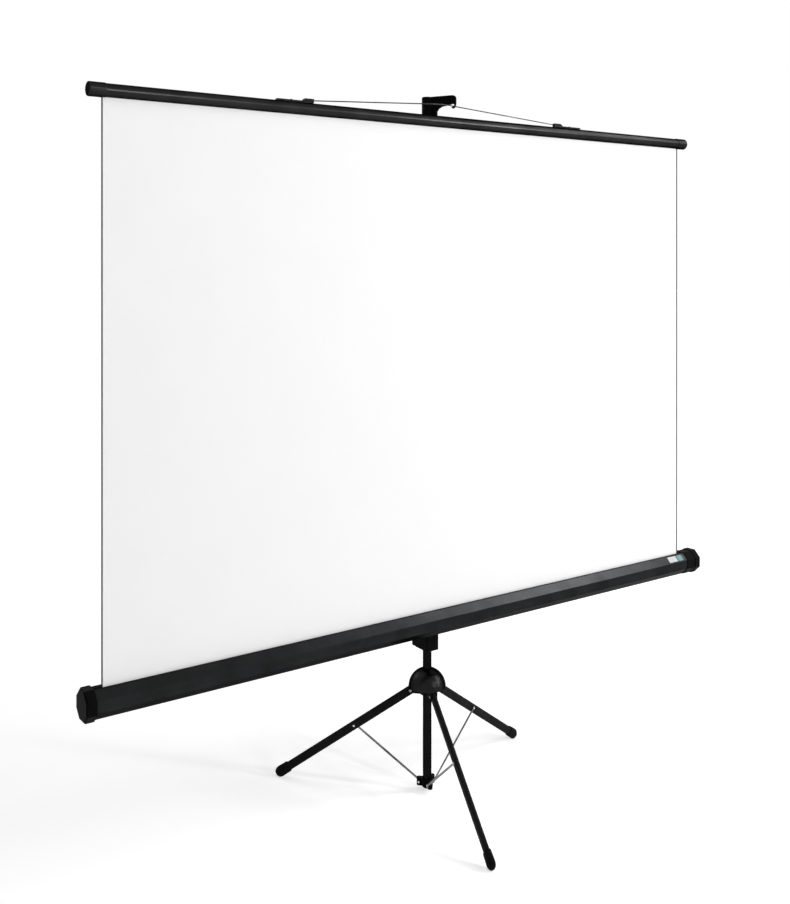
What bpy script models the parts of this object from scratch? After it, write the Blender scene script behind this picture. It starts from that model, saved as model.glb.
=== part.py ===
"""A portable projector screen on a folding tripod.

The tripod's pole stands on its legs with a sliding hub and three side braces. A
carriage on the pole carries the eight-sided case with its spring roller. The fabric
runs up from the roller to a top bar, whose wire bail hangs in the hook on the mast.

Units are metres and +Z is up. Everything is laid out about the pole's axis, X along
the screen and -Y towards the audience, and is then centred over its own footprint.
"""
import math

import bmesh
import bpy
from mathutils import Matrix, Vector

# Fits
GAP = 0.0003              # between pieces that touch
RUNNING_FIT = 0.00015     # radial, between a pin and what turns on it
SLIDING_FIT = 0.0005      # radial, between the mast and the pole

# Tripod legs
LEG_COUNT = 3
TRIPOD_TURN = math.radians(15.5)    # the front leg's turn from the screen's normal
LEG_LENGTH = 0.478                  # pivot to the centre of the foot's round end
LEG_PITCH = math.radians(34.6)      # below the horizontal, legs open
LEG_DEPTH = 0.025
LEG_WIDTH = 0.014
LEG_WALL = 0.0012
LEG_PIVOT_RADIUS = 0.048            # from the pole's axis
LEG_HEAD = 0.005                    # tube beyond the pivot
FOOT_RADIUS = 0.016                 # upright half of the round end
FOOT_HALF_WIDTH = 0.012
FOOT_WALL = 0.0022
FOOT_SLEEVE = 0.022                 # grip of the rubber foot on the tube
FOOT_FLAT = 0.0005                  # worn flat under the foot

# Braces
BRACE_REACH = 0.2053                # along the leg, from its pivot
BRACE_FOOT_RADIUS = 0.024           # lower pivot, from the pole's axis
BRACE_FOOT_HEIGHT = 0.022           # lower pivot, above the floor
BRACE_WIDTH = 0.006
BRACE_THICKNESS = 0.002
BRACE_EYE_RADIUS = 0.0055
RIVET_RADIUS = 0.002
RIVET_HEAD_RADIUS = 0.0032
RIVET_HEAD_HEIGHT = 0.0012

# Pole
POLE_RADIUS = 0.0127
POLE_WALL = 0.0012
POLE_TOP = 1.240
POLE_CLEARANCE = 0.008              # floor to the plug under the pole
PLUG_FLANGE = 0.004
PLUG_DEPTH = 0.020
COLLAR_WALL = 0.0035
COLLAR_HEIGHT = 0.0225

# Hub
HUB_WALL = 0.009
HUB_DOME_RADIUS = 0.0545
HUB_DOME_SHELL = 0.0025
HUB_DISC = 0.0035
HUB_RIM_RISE = 0.0135               # dome rim above the leg pivots
EAR_THICKNESS = 0.0025
EAR_CLEARANCE = 0.0005
EAR_ROUND = 0.0075
EAR_DROP = 0.007                    # ear below the leg pivot
HUB_PIN_RADIUS = 0.0025
HUB_PIN_HEAD = 0.0045

# Mast
MAST_WALL = 0.0012
MAST_BOTTOM = 0.740
MAST_BUSH_FLANGE = 0.005
LOCK_COLLAR_WALL = 0.005
LOCK_COLLAR_HEIGHT = 0.045
LOCK_COLLAR_LIP = 0.010
LOCK_SCREW_RADIUS = 0.003
LOCK_KNOB_RADIUS = 0.013
LOCK_KNOB_DEPTH = 0.016
LOCK_KNOB_LOBES = 8
LOCK_KNOB_STANDOFF = 0.006

# Carriage on the pole
LINER_WALL = 0.002
CARRIAGE_BOTTOM = 0.411
CARRIAGE_HEIGHT = 0.134
CARRIAGE_WIDTH = 0.043
CARRIAGE_FRONT_WALL = 0.0133
CARRIAGE_BACK_WALL = 0.0152
CHEEK_THICKNESS = 0.005
CHEEK_MARGIN = 0.0045               # cheek behind the lever's axis
LEVER_AXIS_DROP = 0.028             # below the carriage's top
LEVER_AXIS_BACK = 0.010             # behind the carriage's back face
LEVER_PIN_RADIUS = 0.0025
LEVER_THICKNESS = 0.009
LEVER_LENGTH = 0.104
LEVER_STANDOFF = 0.018              # lever's outer face behind the carriage's back
PIVOT_WASHER_RADIUS = 0.017
PIVOT_STANDOFF = 0.0095             # carriage to case
PIVOT_BOLT_RADIUS = 0.004
PIVOT_HEAD_RADIUS = 0.009
PIVOT_HEAD_HEIGHT = 0.0022
PIVOT_BOLT_BITE = 0.0075            # thread in the carriage

# Case and roller
CASE_HEIGHT = 0.514                 # centre above the floor
CASE_FLATS = 0.068                  # across flats
CASE_WALL = 0.0015
CASE_MARGIN_LEFT = 0.036            # case beyond the fabric's left edge
CASE_MARGIN_RIGHT = 0.070
CASE_SLOT = 0.005
CAP_FLATS = 0.075
CAP_GRIP = 0.016                    # cap over the end of the case
CAP_PLATE = 0.0097
CAP_SKIRT = 0.039                   # thinner sleeve before the right cap's grip
CAP_SKIRT_WALL = 0.0012
CAP_CHAMFER = 0.004
CAP_BOSS_RADIUS = 0.009
CAP_BOSS_LENGTH = 0.009
ROLLER_RADIUS = 0.0125
ROLLER_WALL = 0.001
ROLLER_MARGIN = 0.021               # roller short of the case's ends
ROLLER_OFFSET = 0.0105              # roller axis behind the case's centre
ROLLER_PIN_RADIUS = 0.004
ROLLER_PLUG_DEPTH = 0.020
ROLLER_PLUG_FLANGE = 0.003
SPRING_SHAFT_RADIUS = 0.003
SPRING_SHAFT_LENGTH = 0.42
SPRING_RADIUS = 0.0075
SPRING_WALL = 0.0020
SPRING_LENGTH = 0.33
SPRING_SEAT = 0.012                 # spigot of the plug that holds the spring's end
WOUND_FABRIC = 0.00065              # thickness of the turns left on the roller
LABEL_LENGTH = 0.080
LABEL_WIDTH = 0.020
LABEL_THICKNESS = 0.0005
LABEL_INSET = 0.002                 # from the cap's edge

# Fabric and top bar
FABRIC_HALF = 1.000
FABRIC_THICKNESS = 0.0005
BAR_HEIGHT = 1.932                  # centre above the floor
BAR_RADIUS = 0.0165
BAR_WALL = 0.0012
BAR_MARGIN = 0.028                  # bar beyond the fabric's edges
BAR_SLOT = 0.004
BAR_CAP_WALL = 0.0008
BAR_CAP_GRIP = 0.036
BAR_CAP_PLATE = 0.005
BATTEN_WIDTH = 0.010
BATTEN_THICKNESS = 0.003
BATTEN_MARGIN = 0.015               # batten short of the fabric's edges

# Bail
BAIL_WIRE_RADIUS = 0.0016
BAIL_HALF = 0.428                   # straight ends begin here
BAIL_END = 0.020
BAIL_AXIS_RISE = 0.0070             # hinge line above the bar's top
BAIL_RISE = 0.026                   # middle of the wire above its hinge line
BAIL_BEND = 0.030                   # half width of the bend in the middle
BAIL_BRACKET_LENGTH = 0.110
BAIL_BRACKET_WIDTH = 0.010
BAIL_EYE_LENGTH = 0.026
BAIL_EYE_WALL = 0.0023
BAIL_FOOT_THICKNESS = 0.004
BAIL_SCREW_RADIUS = 0.0015
BAIL_SCREW_HEAD = 0.003
BAIL_SCREW_ALONG = 0.066            # from the bracket's inner end
BAIL_SCREW_LENGTH = 0.009

# Hook
HOOK_TURN = math.radians(26.0)      # arm's turn from the screen's normal
HOOK_RISE = 0.0315                  # hook's top above the wire
HOOK_DROP = 0.024                   # hook's bottom below the wire
HOOK_CROWN = 0.015
HOOK_SLEEVE_WALL = 0.0043
HOOK_ARM_THICKNESS = 0.008
HOOK_NOSE = 0.0084                  # seat to the front of the nose
HOOK_LIP = 0.0048                   # metal under the wire
HOOK_PIN_RADIUS = 0.002

SIDES = 32                          # facets round a large turned piece
SMALL_SIDES = 16                    # facets round a pin

# Values that follow from the sizes above
tau = 2.0 * math.pi
leg_azimuths = [-math.pi / 2 - TRIPOD_TURN + tau * i / LEG_COUNT for i in range(LEG_COUNT)]
leg_pivot_height = LEG_LENGTH * math.sin(LEG_PITCH) + FOOT_RADIUS - FOOT_FLAT
brace_top_radius = LEG_PIVOT_RADIUS + BRACE_REACH * math.cos(LEG_PITCH)
brace_top_height = leg_pivot_height - BRACE_REACH * math.sin(LEG_PITCH)
brace_run = brace_top_radius - BRACE_FOOT_RADIUS
brace_climb = brace_top_height - BRACE_FOOT_HEIGHT
brace_length = math.hypot(brace_run, brace_climb)
brace_pitch = math.atan2(brace_climb, brace_run)
brace_side = -LEG_WIDTH / 2 - GAP                   # the brace's face next to the leg

pole_bore = POLE_RADIUS - POLE_WALL
on_pole = POLE_RADIUS + GAP                         # bore of what fits round the pole
mast_radius = pole_bore - SLIDING_FIT
mast_bore = mast_radius - MAST_WALL
pole_bottom = POLE_CLEARANCE + PLUG_FLANGE + GAP

liner_outer = on_pole + LINER_WALL
carriage_bore = liner_outer + GAP
carriage_front = -(carriage_bore + CARRIAGE_FRONT_WALL)
carriage_back = carriage_bore + CARRIAGE_BACK_WALL
carriage_top = CARRIAGE_BOTTOM + CARRIAGE_HEIGHT
lever_axis_y = carriage_back + LEVER_AXIS_BACK
lever_axis_z = carriage_top - LEVER_AXIS_DROP

case_back = carriage_front - PIVOT_STANDOFF
case_y = case_back - CASE_FLATS / 2
case_top = CASE_HEIGHT + CASE_FLATS / 2
case_ends = {-1: FABRIC_HALF + CASE_MARGIN_LEFT, 1: FABRIC_HALF + CASE_MARGIN_RIGHT}
cap_plates = {side: case_ends[side] + GAP for side in case_ends}
roller_ends = {side: case_ends[side] - ROLLER_MARGIN for side in case_ends}
roller_y = case_y + ROLLER_OFFSET
roll_inner = ROLLER_RADIUS + GAP
roll_outer = roll_inner + WOUND_FABRIC
fabric_y = roller_y - roll_outer - GAP - FABRIC_THICKNESS / 2

bar_half = FABRIC_HALF + BAR_MARGIN
bar_bore = BAR_RADIUS - BAR_WALL
batten_seat = BAR_HEIGHT - math.sqrt(bar_bore ** 2 - (BATTEN_WIDTH / 2) ** 2)
batten_low = batten_seat + GAP
fabric_top = batten_low - GAP
bar_top = BAR_HEIGHT + BAR_RADIUS
bail_axis_z = bar_top + BAIL_AXIS_RISE
hook_reach = -fabric_y / math.cos(HOOK_TURN)        # along the arm, pole to wire
hook_wire_x = hook_reach * math.sin(HOOK_TURN)
hook_azimuth = -math.pi / 2 + HOOK_TURN


def bail_rise(x):
    """Height of the bail's wire above its hinge line, with a round bend at the middle."""
    slope = BAIL_RISE / (BAIL_HALF - BAIL_BEND / 2)
    run = BAIL_HALF - abs(x)
    if abs(x) < BAIL_BEND:
        return BAIL_RISE - slope * x * x / (2 * BAIL_BEND)
    return slope * run


hook_wire_z = bail_axis_z + bail_rise(hook_wire_x)
hook_top = hook_wire_z + HOOK_RISE
hook_bottom = hook_wire_z - HOOK_DROP


# Finishes: colour, roughness, metallic
FINISHES = {
    "black_paint": ((0.018, 0.018, 0.019, 1.0), 0.38, 0.0),
    "grey_paint": ((0.045, 0.046, 0.048, 1.0), 0.42, 0.0),
    "black_plastic": ((0.014, 0.014, 0.015, 1.0), 0.50, 0.0),
    "nylon": ((0.55, 0.54, 0.50, 1.0), 0.45, 0.0),
    "steel": ((0.62, 0.62, 0.63, 1.0), 0.28, 1.0),
    "aluminium": ((0.72, 0.73, 0.74, 1.0), 0.35, 1.0),
    "rubber": ((0.012, 0.012, 0.012, 1.0), 0.75, 0.0),
    "fabric": ((0.90, 0.90, 0.89, 1.0), 0.85, 0.0),
    "label": ((0.80, 0.86, 0.86, 1.0), 0.40, 0.0),
}


def clear_scene():
    """Remove every object of the scene that the file opens with."""
    for obj in list(bpy.data.objects):
        bpy.data.objects.remove(obj, do_unlink=True)


def new_material(name, finish):
    """A Principled material in one of the finishes above."""
    colour, roughness, metallic = FINISHES[finish]
    material = bpy.data.materials.new(name + "_" + finish)
    material.use_nodes = True
    shader = material.node_tree.nodes["Principled BSDF"]
    shader.inputs["Base Color"].default_value = colour
    shader.inputs["Roughness"].default_value = roughness
    shader.inputs["Metallic"].default_value = metallic
    return material


def add_empty(name, parent=None, location=(0, 0, 0), rotation=(0, 0, 0)):
    """The frame of one moving body, with its origin on the body's joint."""
    empty = bpy.data.objects.new(name, None)
    empty.parent = parent
    empty.location = location
    empty.rotation_euler = rotation
    bpy.context.scene.collection.objects.link(empty)
    return empty


def add_object(name, bm, finish, parent):
    """One piece from a bmesh, in its body's frame."""
    bmesh.ops.recalc_face_normals(bm, faces=bm.faces)
    mesh = bpy.data.meshes.new(name)
    bm.to_mesh(mesh)
    bm.free()
    mesh.materials.append(new_material(name, finish))
    mesh.shade_smooth()
    mesh.set_sharp_from_angle(angle=math.radians(30))
    obj = bpy.data.objects.new(name, mesh)
    obj.parent = parent
    bpy.context.scene.collection.objects.link(obj)
    return obj


def frame(origin, across, up):
    """A matrix that takes x to across, y to up and z to across x up, at the origin."""
    u = Vector(across).normalized()
    v = Vector(up).normalized()
    w = u.cross(v)
    columns = Matrix((u, v, w)).transposed()
    return Matrix.Translation(Vector(origin)) @ columns.to_4x4()


AXIS_X = frame((0, 0, 0), (0, 1, 0), (0, 0, 1))     # drawn in Y and Z, run along X
AXIS_Y = frame((0, 0, 0), (0, 0, 1), (1, 0, 0))     # drawn in Z and X, run along Y


def add_rings(bm, rings, closed=False):
    """Bridge rings of points, and cap the first and last unless they join up."""
    loops = [[bm.verts.new(point) for point in ring] for ring in rings]
    pairs = list(zip(loops, loops[1:]))
    if closed:
        pairs.append((loops[-1], loops[0]))
    else:
        bm.faces.new(loops[0])
        bm.faces.new(loops[-1])
    for first, second in pairs:
        count = len(first)
        for i in range(count):
            j = (i + 1) % count
            bm.faces.new((first[i], first[j], second[j], second[i]))


def add_turned(bm, outline, place=Matrix(), sides=SIDES):
    """Turn a closed outline of (radius, height) points about the local Z axis."""
    loops = []
    for radius, height in outline:
        if radius < 1e-9:
            loops.append([bm.verts.new(place @ Vector((0, 0, height)))])
            continue
        loop = []
        for i in range(sides):
            angle = tau * i / sides
            point = Vector((radius * math.cos(angle), radius * math.sin(angle), height))
            loop.append(bm.verts.new(place @ point))
        loops.append(loop)
    for first, second in zip(loops, loops[1:] + loops[:1]):
        if len(first) == 1 and len(second) == 1:
            continue
        for i in range(sides):
            j = (i + 1) % sides
            corners = [first[i % len(first)], first[j % len(first)]]
            corners += [second[j % len(second)], second[i % len(second)]]
            bm.faces.new(list(dict.fromkeys(corners)))


def add_extruded(bm, outline, low, high, place=Matrix()):
    """Extrude a closed outline of (x, y) points from z = low to z = high."""
    rings = [[place @ Vector((x, y, z)) for x, y in outline] for z in (low, high)]
    add_rings(bm, rings)


def pipe(inner, outer, low, high):
    """The outline of a plain tube, for add_turned."""
    return [(inner, low), (outer, low), (outer, high), (inner, high)]


def rod(radius, low, high):
    """The outline of a plain round bar, for add_turned."""
    return [(0, low), (radius, low), (radius, high), (0, high)]


def headed_pin(radius, head_radius, head_height, low, high):
    """A rivet's outline, its shank from low to high and a head beyond each end."""
    return [
        (0, low - head_height), (head_radius * 0.7, low - head_height),
        (head_radius, low - head_height * 0.35), (head_radius, low), (radius, low),
        (radius, high), (head_radius, high), (head_radius, high + head_height * 0.35),
        (head_radius * 0.7, high + head_height), (0, high + head_height),
    ]


def arc(centre, radius, start, end, steps):
    """Points along an arc, both ends included; angles are in degrees."""
    points = []
    for i in range(steps + 1):
        angle = math.radians(start + (end - start) * i / steps)
        points.append((centre[0] + radius * math.cos(angle), centre[1] + radius * math.sin(angle)))
    return points


def rounded_rectangle(left, low, right, high, radius, steps=3):
    """A rectangle with round corners, anticlockwise."""
    points = arc((right - radius, high - radius), radius, 0, 90, steps)
    points += arc((left + radius, high - radius), radius, 90, 180, steps)
    points += arc((left + radius, low + radius), radius, 180, 270, steps)
    points += arc((right - radius, low + radius), radius, 270, 360, steps)
    return points


def octagon(flats):
    """The corners of a regular octagon with a flat at its top, anticlockwise."""
    radius = flats / 2 / math.cos(math.pi / 8)
    return [(radius * math.cos(tau * (i + 0.5) / 8), radius * math.sin(tau * (i + 0.5) / 8)) for i in range(8)]


def stadium(width, depth, steps=7):
    """A flat-oval section, its round ends above and below."""
    radius = width / 2
    straight = depth / 2 - radius
    return arc((0, straight), radius, 0, 180, steps) + arc((0, -straight), radius, 180, 360, steps)


def add_guide(owner, bm, name):
    """A hidden shape that a Boolean on its owner uses."""
    guide = add_object(owner.name + "_" + name, bm, "nylon", owner.parent)
    guide.hide_render = True
    guide.display_type = "WIRE"
    return guide


def combine(owner, bm, name, operation):
    """Join a hidden shape to a piece, or cut it away."""
    modifier = owner.modifiers.new(name, "BOOLEAN")
    modifier.operation = operation
    modifier.solver = "EXACT"
    modifier.object = add_guide(owner, bm, name)


def drill(owner, name, place, radius, low, high, sides=SMALL_SIDES):
    """Cut a round hole along the local Z axis of a place."""
    bm = bmesh.new()
    add_turned(bm, rod(radius, low, high), place, sides)
    combine(owner, bm, name, "DIFFERENCE")


def polar(azimuth, radius, across, height):
    """A point given along and across a direction from the pole."""
    c, s = math.cos(azimuth), math.sin(azimuth)
    return (radius * c - across * s, radius * s + across * c, height)


def tangent_frame(azimuth, radius, height):
    """A place whose Z axis runs across a leg's direction, anticlockwise seen from above."""
    outward = (math.cos(azimuth), math.sin(azimuth), 0)
    return frame((outward[0] * radius, outward[1] * radius, height), (0, 0, 1), outward)


def make_pole(body):
    """The outer tube with its plug, the brace collar and the collar's rivets."""
    bm = bmesh.new()
    add_turned(bm, pipe(pole_bore, POLE_RADIUS, pole_bottom, POLE_TOP))
    tube = add_object("outer_tube", bm, "black_paint", body)
    drill(tube, "screw_hole", lock_frame(), LOCK_SCREW_RADIUS + GAP, 0, POLE_RADIUS * 2)

    flange_top = POLE_CLEARANCE + PLUG_FLANGE
    outline = rod(POLE_RADIUS, POLE_CLEARANCE, flange_top)[:-1]
    outline += [(pole_bore - GAP, flange_top), (pole_bore - GAP, flange_top + PLUG_DEPTH)]
    outline.append((0, flange_top + PLUG_DEPTH))
    bm = bmesh.new()
    add_turned(bm, outline)
    add_object("pole_plug", bm, "black_plastic", body)

    make_brace_collar(body)
    make_lock_collar(body)


def make_brace_collar(body):
    """The collar at the pole's foot, with one ear for each brace."""
    ring = on_pole + COLLAR_WALL
    half = LEG_WIDTH / 2
    shoulder = math.asin(half / ring)
    tip = BRACE_FOOT_RADIUS + half
    outline = []
    for azimuth in leg_azimuths:
        ear = [(BRACE_FOOT_RADIUS, -half)] + arc((BRACE_FOOT_RADIUS, 0), half, -60, 60, 4) + [(BRACE_FOOT_RADIUS, half)]
        start = (ring * math.cos(shoulder), -half)
        end = (ring * math.cos(shoulder), half)
        for along, across in [start] + ear + [end]:
            outline.append(polar(azimuth, along, across, 0)[:2])
        gap_start = math.degrees(azimuth + shoulder)
        gap_end = math.degrees(azimuth + tau / LEG_COUNT - shoulder)
        outline += arc((0, 0), ring, gap_start, gap_end, 4)[1:-1]
    bm = bmesh.new()
    add_extruded(bm, outline, pole_bottom, pole_bottom + COLLAR_HEIGHT)
    collar = add_object("brace_collar", bm, "black_plastic", body)
    drill(collar, "pole_bore", Matrix(), on_pole, 0, tip * 4, SIDES)

    low = brace_side - BRACE_THICKNESS - GAP
    for index, azimuth in enumerate(leg_azimuths):
        place = tangent_frame(azimuth, BRACE_FOOT_RADIUS, BRACE_FOOT_HEIGHT)
        drill(collar, "rivet_hole_%d" % index, place, RIVET_RADIUS + GAP, -tip, tip)
        pin = headed_pin(RIVET_RADIUS, RIVET_HEAD_RADIUS, RIVET_HEAD_HEIGHT, low, half + GAP)
        bm = bmesh.new()
        add_turned(bm, pin, place, SMALL_SIDES)
        add_object("collar_rivet_%d" % (index + 1), bm, "steel", body)


def lock_frame():
    """A place on the pole's axis whose Z axis is the lock screw's."""
    height = POLE_TOP - (LOCK_COLLAR_HEIGHT - LOCK_COLLAR_LIP) / 2
    return frame((0, 0, height), (0, 0, 1), (1, 0, 0))


def make_lock_collar(body):
    """The collar at the pole's top that guides the mast and holds its lock screw."""
    outer = on_pole + LOCK_COLLAR_WALL
    top = POLE_TOP + LOCK_COLLAR_LIP
    low = top - LOCK_COLLAR_HEIGHT
    edge = 0.0015
    outline = [
        (on_pole, low), (outer - edge, low), (outer, low + edge), (outer, top - edge * 2),
        (outer - edge * 2, top), (mast_radius + GAP, top), (mast_radius + GAP, POLE_TOP + GAP),
        (on_pole, POLE_TOP + GAP),
    ]
    bm = bmesh.new()
    add_turned(bm, outline)
    collar = add_object("lock_collar", bm, "black_plastic", body)
    drill(collar, "screw_hole", lock_frame(), LOCK_SCREW_RADIUS + GAP, 0, outer * 2)


def make_lock_knob(body):
    """The lobed knob and the screw that presses on the mast; Z is the screw's axis."""
    seat = on_pole + LOCK_COLLAR_WALL + LOCK_KNOB_STANDOFF
    steps = LOCK_KNOB_LOBES * 6
    outline = []
    for i in range(steps):
        angle = tau * i / steps
        radius = LOCK_KNOB_RADIUS * (1 - 0.07 * (1 + math.cos(LOCK_KNOB_LOBES * angle)))
        outline.append((radius * math.cos(angle), radius * math.sin(angle)))
    bm = bmesh.new()
    edge = 0.002
    rings = []
    for height, share in ((0, 0.78), (edge, 1.0), (LOCK_KNOB_DEPTH - edge, 1.0), (LOCK_KNOB_DEPTH, 0.82)):
        rings.append([Vector((x * share, y * share, seat + height)) for x, y in outline])
    add_rings(bm, rings)
    knob = add_object("lock_knob", bm, "black_plastic", body)
    drill(knob, "screw_socket", Matrix(), LOCK_SCREW_RADIUS + GAP, 0, seat + LOCK_KNOB_DEPTH * 0.6)
    bm = bmesh.new()
    add_turned(bm, rod(LOCK_SCREW_RADIUS, mast_radius + GAP, seat + LOCK_KNOB_DEPTH * 0.6 - GAP), sides=SMALL_SIDES)
    add_object("lock_screw", bm, "steel", body)


def make_hub(body):
    """The sliding hub: a boss with a pair of ears for each leg, a disc and a dome."""
    boss = on_pole + HUB_WALL
    inner = LEG_WIDTH / 2 + EAR_CLEARANCE
    outer = inner + EAR_THICKNESS
    reach = LEG_PIVOT_RADIUS + EAR_ROUND
    throat = boss + 0.003
    root = math.sqrt(boss ** 2 - outer ** 2)
    rim = leg_pivot_height + HUB_RIM_RISE
    disc_low = leg_pivot_height + math.hypot(LEG_HEAD, LEG_DEPTH / 2) + 0.0005
    disc_high = disc_low + HUB_DISC
    ear_low = leg_pivot_height - EAR_DROP
    outline = []
    for azimuth in leg_azimuths:
        fork = [(root, -outer), (reach, -outer), (reach, -inner), (throat, -inner)]
        fork += [(along, -across) for along, across in reversed(fork)]
        outline += [polar(azimuth, along, across, 0)[:2] for along, across in fork]
        shoulder = math.asin(outer / boss)
        start = math.degrees(azimuth + shoulder)
        end = math.degrees(azimuth + tau / LEG_COUNT - shoulder)
        outline += arc((0, 0), boss, start, end, 4)[1:-1]
    bm = bmesh.new()
    add_extruded(bm, outline, ear_low, disc_low + HUB_DISC / 2)
    hub = add_object("hub_body", bm, "black_plastic", body)
    dome_inner = HUB_DOME_RADIUS - HUB_DOME_SHELL
    bm = bmesh.new()
    add_turned(bm, pipe(dome_inner - GAP * 2, reach * 1.5, rim - GAP, disc_high * 1.2))
    combine(hub, bm, "dome_seat", "DIFFERENCE")
    bm = bmesh.new()
    add_turned(bm, rod(dome_inner - GAP, disc_low, disc_high))
    combine(hub, bm, "disc", "UNION")
    drill(hub, "pole_bore", Matrix(), on_pole, 0, disc_high * 2, SIDES)

    for index, azimuth in enumerate(leg_azimuths):
        place = tangent_frame(azimuth, LEG_PIVOT_RADIUS, leg_pivot_height)
        drill(hub, "pin_hole_%d" % index, place, HUB_PIN_RADIUS + GAP, -reach / 2, reach / 2)
        pin = headed_pin(HUB_PIN_RADIUS, HUB_PIN_HEAD, RIVET_HEAD_HEIGHT, -outer - GAP, outer + GAP)
        bm = bmesh.new()
        add_turned(bm, pin, place, SMALL_SIDES)
        add_object("hub_pin_%d" % (index + 1), bm, "steel", body)

    ledge = disc_high + GAP
    neck = on_pole + 0.001
    top = rim + math.sqrt(HUB_DOME_RADIUS ** 2 - (neck + 0.003) ** 2)
    steps = 9
    outline = [(dome_inner, ledge), (dome_inner, rim), (HUB_DOME_RADIUS, rim)]
    last = math.degrees(math.acos((neck + 0.003) / HUB_DOME_RADIUS))
    outline += arc((0, rim), HUB_DOME_RADIUS, last / steps, last, steps - 1)
    outline += [(neck, top), (neck, top - HUB_DOME_SHELL * 2)]
    shell = dome_inner - 0.001
    first = math.degrees(math.asin((ledge - rim) / shell))
    stop = math.degrees(math.acos((neck + 0.004) / shell))
    outline += arc((0, rim), shell, stop, first, 7)
    bm = bmesh.new()
    add_turned(bm, outline, sides=40)
    add_object("hub_dome", bm, "black_plastic", body)


def superellipse(x, half_width, half_depth, power, steps=20):
    """A ring across the leg at x, from flat-oval to round."""
    ring = []
    for i in range(steps):
        angle = tau * i / steps
        c, s = math.cos(angle), math.sin(angle)
        y = math.copysign(abs(c) ** (2 / power), c) * half_width
        z = math.copysign(abs(s) ** (2 / power), s) * half_depth
        ring.append(Vector((x, y, z)))
    return ring


def make_leg(body, number):
    """One leg with its rubber foot and brace rivet; X runs down the leg from its pivot."""
    tube_end = LEG_LENGTH - FOOT_RADIUS * 0.6
    rings = []
    for x, inset in ((-LEG_HEAD, 0), (tube_end, 0), (tube_end, LEG_WALL), (-LEG_HEAD, LEG_WALL)):
        section = stadium(LEG_WIDTH - 2 * inset, LEG_DEPTH - 2 * inset)
        rings.append([Vector((x, y, z)) for y, z in section])
    bm = bmesh.new()
    add_rings(bm, rings, closed=True)
    leg = add_object("leg_tube_%d" % number, bm, "black_paint", body)
    across = frame((0, 0, 0), (0, 0, 1), (1, 0, 0))
    drill(leg, "pivot_hole", across, HUB_PIN_RADIUS + RUNNING_FIT, -LEG_WIDTH, LEG_WIDTH)
    rivet_place = Matrix.Translation((BRACE_REACH, 0, 0)) @ across
    drill(leg, "rivet_hole", rivet_place, RIVET_RADIUS + GAP, -LEG_WIDTH, LEG_WIDTH)

    half = LEG_WIDTH / 2
    outline = [
        (0, -half), (RIVET_RADIUS, -half), (RIVET_RADIUS, half + GAP), (RIVET_HEAD_RADIUS, half + GAP),
        (RIVET_HEAD_RADIUS, half + GAP + RIVET_HEAD_HEIGHT * 0.35),
        (RIVET_HEAD_RADIUS * 0.7, half + GAP + RIVET_HEAD_HEIGHT), (0, half + GAP + RIVET_HEAD_HEIGHT),
    ]
    bm = bmesh.new()
    add_turned(bm, outline, rivet_place, SMALL_SIDES)
    add_object("leg_rivet_%d" % number, bm, "steel", body)
    make_foot(body, number, tube_end)


def make_foot(body, number, tube_end):
    """A rubber foot that sleeves the tube, ends round and is cut flat at the floor."""
    pocket_width = LEG_WIDTH / 2 + GAP
    pocket_depth = LEG_DEPTH / 2 + GAP
    mouth = tube_end - FOOT_SLEEVE
    rings = [superellipse(tube_end + GAP, pocket_width, pocket_depth, 2.9)]
    rings.append(superellipse(mouth, pocket_width, pocket_depth, 2.9))
    sleeve_width = pocket_width + FOOT_WALL
    sleeve_depth = pocket_depth + FOOT_WALL
    rings.append(superellipse(mouth, sleeve_width - 0.0008, sleeve_depth - 0.0008, 2.9))
    rings.append(superellipse(mouth + 0.0015, sleeve_width, sleeve_depth, 2.9))
    blend = LEG_LENGTH - mouth
    for share, power in ((0.3, 2.7), (0.55, 2.4), (0.8, 2.15)):
        width = sleeve_width + (FOOT_HALF_WIDTH - sleeve_width) * share
        depth = sleeve_depth + (FOOT_RADIUS - sleeve_depth) * share
        rings.append(superellipse(mouth + blend * share, width, depth, power))
    for angle in (0, 22, 42, 60, 76):
        turn = math.radians(angle)
        width = FOOT_HALF_WIDTH * math.cos(turn)
        depth = FOOT_RADIUS * math.cos(turn)
        rings.append(superellipse(LEG_LENGTH + FOOT_RADIUS * math.sin(turn), width, depth, 2.0))
    bm = bmesh.new()
    add_rings(bm, rings)
    up = Vector((-math.sin(LEG_PITCH), 0, math.cos(LEG_PITCH)))
    geometry = bm.verts[:] + bm.edges[:] + bm.faces[:]
    cut = bmesh.ops.bisect_plane(
        bm, geom=geometry, plane_co=up * -leg_pivot_height, plane_no=up, clear_inner=True)
    edges = [item for item in cut["geom_cut"] if isinstance(item, bmesh.types.BMEdge)]
    bmesh.ops.edgeloop_fill(bm, edges=edges)
    add_object("foot_%d" % number, bm, "rubber", body)


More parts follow.
